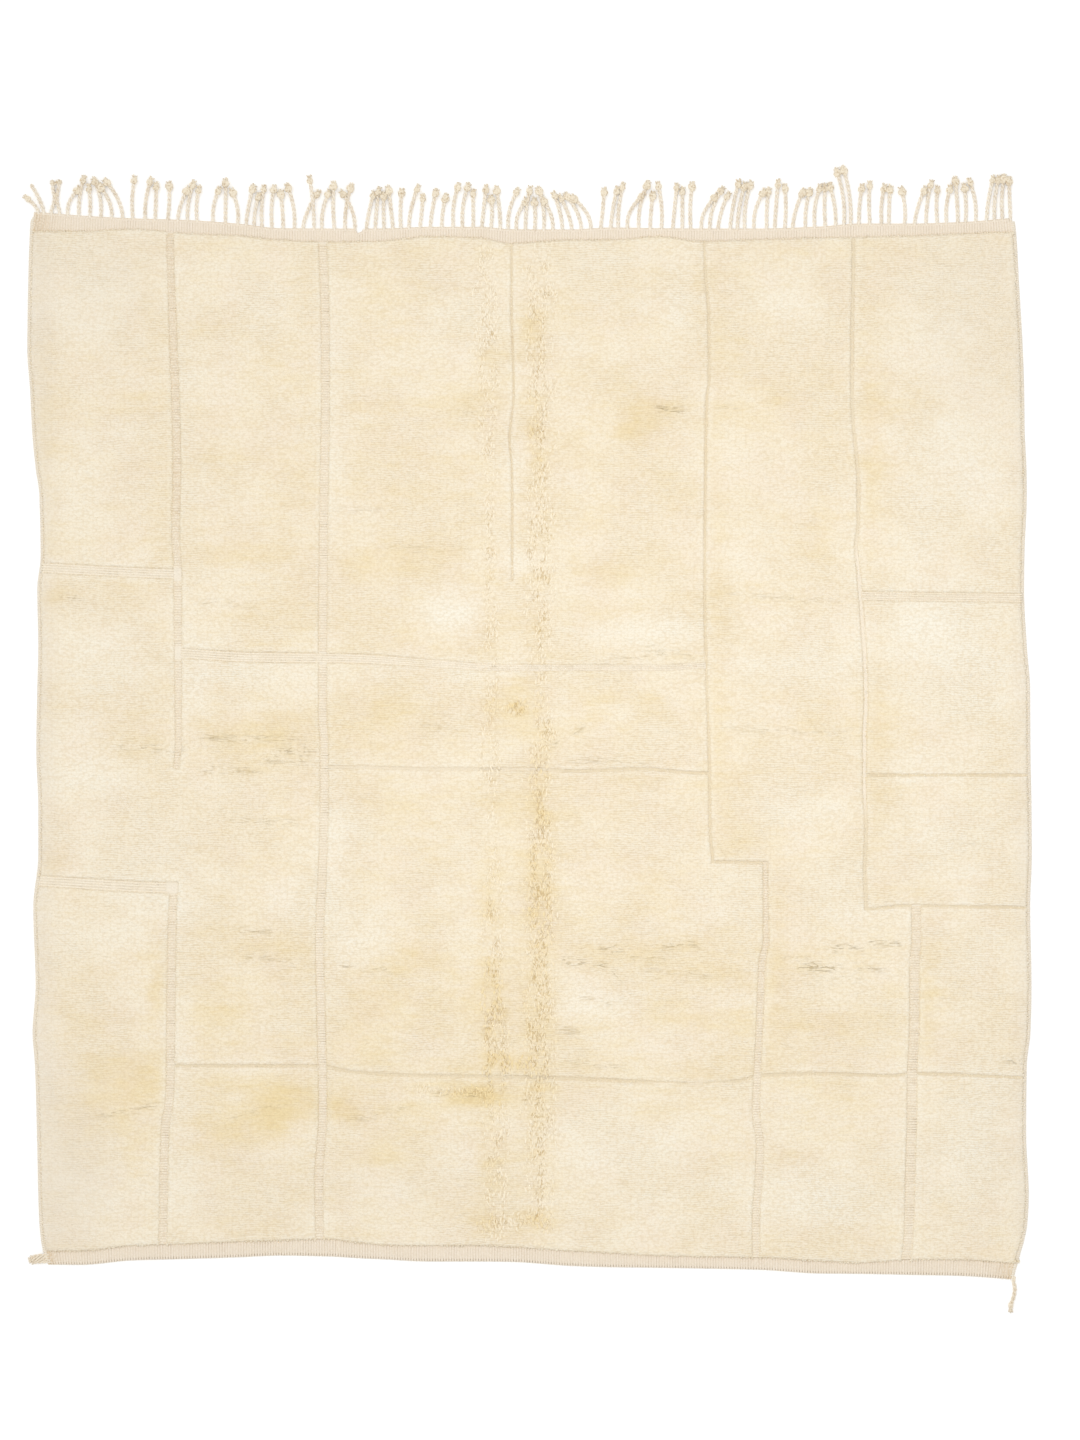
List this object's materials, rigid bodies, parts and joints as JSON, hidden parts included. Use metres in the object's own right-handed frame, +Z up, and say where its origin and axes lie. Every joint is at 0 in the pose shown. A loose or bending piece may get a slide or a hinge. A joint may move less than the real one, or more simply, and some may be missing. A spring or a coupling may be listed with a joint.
{
  "type": "beni ourain rug",
  "caption": "Large near-square cream wool pile rug with a grid of flat-woven grooves, woven end bands and a knotted fringe at one end.",
  "frame": {"origin": "middle of the rug's underside, fringe and tails included", "axes": "+Z up off the floor, +Y along the rug towards its fringed end, +X to the right seen from above with the fringe at the top"},
  "size_m": [3.0272, 3.4389, 0.0188],
  "materials": {
    "wool_pile": "soft cropped undyed wool pile",
    "twisted_warp": "twisted undyed warp cords, matt",
    "loose_end_left": "blunt felted wool end, matt",
    "loose_end_right": "twisted undyed warp cord, matt"
  },
  "bodies": {
    "root": {"rug_body": "wool_pile", "fringe_top": "twisted_warp", "corner_tail_left": "loose_end_left", "corner_tail_right": "loose_end_right"}
  },
  "joints": []
}
